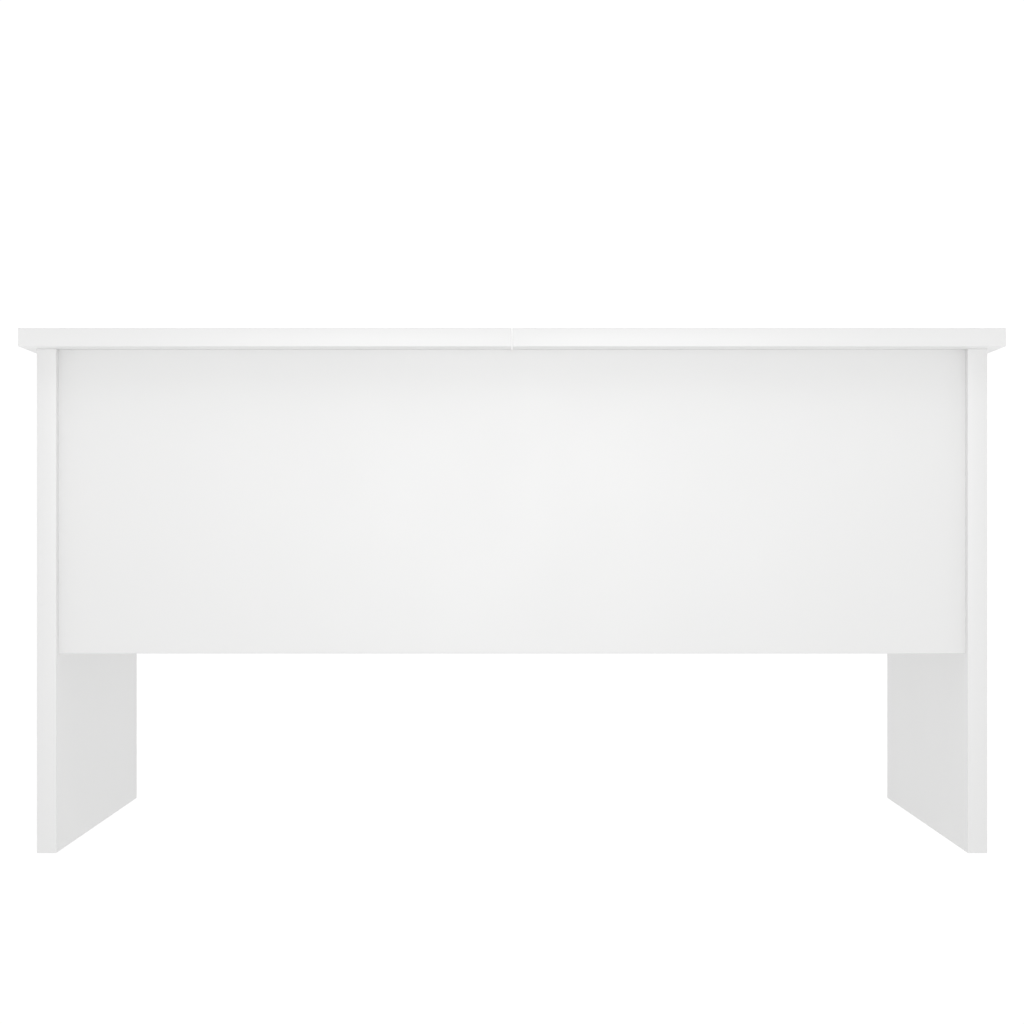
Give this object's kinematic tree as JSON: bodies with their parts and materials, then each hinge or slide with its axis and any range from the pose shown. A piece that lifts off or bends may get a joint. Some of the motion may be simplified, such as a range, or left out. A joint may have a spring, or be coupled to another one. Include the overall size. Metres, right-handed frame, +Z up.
{
  "type": "lift top coffee table",
  "caption": "White coffee table on full-height end panels; each half of its top lifts up and forward on parallel arms over a storage bay.",
  "frame": {"origin": "centre of the bounding box at floor level, both half tops closed", "axes": "+X along the table's length to the right as seen from the front, +Y to the back, +Z up"},
  "size_m": [0.8, 0.5, 0.43],
  "materials": {
    "board": "satin white melamine on chipboard",
    "fitting_steel": "zinc plated, pressed",
    "pin_steel": "turned, bright zinc",
    "spring_steel": "oiled spring wire",
    "bumper_rubber": "translucent, matt",
    "glide_nylon": "moulded, matt"
  },
  "bodies": {
    "carcass": {"end_panel_left": "board", "end_panel_right": "board", "front_panel": "board", "back_panel": "board", "bottom_panel": "board", "centre_divider": "board", "glide_left_front": "glide_nylon", "glide_left_rear": "glide_nylon", "glide_right_front": "glide_nylon", "glide_right_rear": "glide_nylon", "bumper_left_front": "bumper_rubber", "bumper_left_rear": "bumper_rubber", "bumper_centre_front": "bumper_rubber", "bumper_centre_rear": "bumper_rubber", "bumper_right_front": "bumper_rubber", "bumper_right_rear": "bumper_rubber", "base_bracket_left_outer": "fitting_steel", "base_bracket_left_inner": "fitting_steel", "base_bracket_right_inner": "fitting_steel", "base_bracket_right_outer": "fitting_steel", "rear_base_pin_left_outer": "pin_steel", "rear_base_pin_left_inner": "pin_steel", "rear_base_pin_right_inner": "pin_steel", "rear_base_pin_right_outer": "pin_steel", "front_base_pin_left_outer": "pin_steel", "front_base_pin_left_inner": "pin_steel", "front_base_pin_right_inner": "pin_steel", "front_base_pin_right_outer": "pin_steel", "torsion_spring_left_outer": "spring_steel", "torsion_spring_left_inner": "spring_steel", "torsion_spring_right_inner": "spring_steel", "torsion_spring_right_outer": "spring_steel"},
    "left_rear_arms": {"rear_arm_left_outer": "fitting_steel", "rear_arm_left_inner": "fitting_steel"},
    "left_front_arms": {"front_arm_left_outer": "fitting_steel", "front_arm_left_inner": "fitting_steel"},
    "left_top": {"top_left": "board", "top_rail_left_outer": "fitting_steel", "top_rail_left_inner": "fitting_steel", "rear_top_pin_left_outer": "pin_steel", "rear_top_pin_left_inner": "pin_steel", "front_top_pin_left_outer": "pin_steel", "front_top_pin_left_inner": "pin_steel"},
    "right_rear_arms": {"rear_arm_right_inner": "fitting_steel", "rear_arm_right_outer": "fitting_steel"},
    "right_front_arms": {"front_arm_right_inner": "fitting_steel", "front_arm_right_outer": "fitting_steel"},
    "right_top": {"top_right": "board", "top_rail_right_inner": "fitting_steel", "top_rail_right_outer": "fitting_steel", "rear_top_pin_right_inner": "pin_steel", "rear_top_pin_right_outer": "pin_steel", "front_top_pin_right_inner": "pin_steel", "front_top_pin_right_outer": "pin_steel"}
  },
  "joints": [
    {"name": "left_lift", "type": "hinge", "parent": "carcass", "child": "left_rear_arms", "pos_m": [0, -0.09938, 0.32508], "axis": [1, 0, 0], "range_deg": [0, 100], "deforming": ["torsion_spring_left_outer", "torsion_spring_left_inner"]},
    {"name": "left_front_arms_swing", "type": "hinge", "parent": "carcass", "child": "left_front_arms", "pos_m": [0, -0.16, 0.36008], "axis": [1, 0, 0], "range_deg": [0, 100]},
    {"name": "left_top_levelling", "type": "hinge", "parent": "left_rear_arms", "child": "left_top", "pos_m": [0, 0.127, 0.365], "axis": [1, 0, 0], "range_deg": [-100, 0]},
    {"name": "right_lift", "type": "hinge", "parent": "carcass", "child": "right_rear_arms", "pos_m": [0, -0.09938, 0.32508], "axis": [1, 0, 0], "range_deg": [0, 100], "deforming": ["torsion_spring_right_inner", "torsion_spring_right_outer"]},
    {"name": "right_front_arms_swing", "type": "hinge", "parent": "carcass", "child": "right_front_arms", "pos_m": [0, -0.16, 0.36008], "axis": [1, 0, 0], "range_deg": [0, 100]},
    {"name": "right_top_levelling", "type": "hinge", "parent": "right_rear_arms", "child": "right_top", "pos_m": [0, 0.127, 0.365], "axis": [1, 0, 0], "range_deg": [-100, 0]}
  ],
  "couplings": [
    {"joint": "left_front_arms_swing", "follows": "left_lift", "ratio": 1},
    {"joint": "left_top_levelling", "follows": "left_lift", "ratio": -1},
    {"joint": "right_front_arms_swing", "follows": "right_lift", "ratio": 1},
    {"joint": "right_top_levelling", "follows": "right_lift", "ratio": -1}
  ]
}
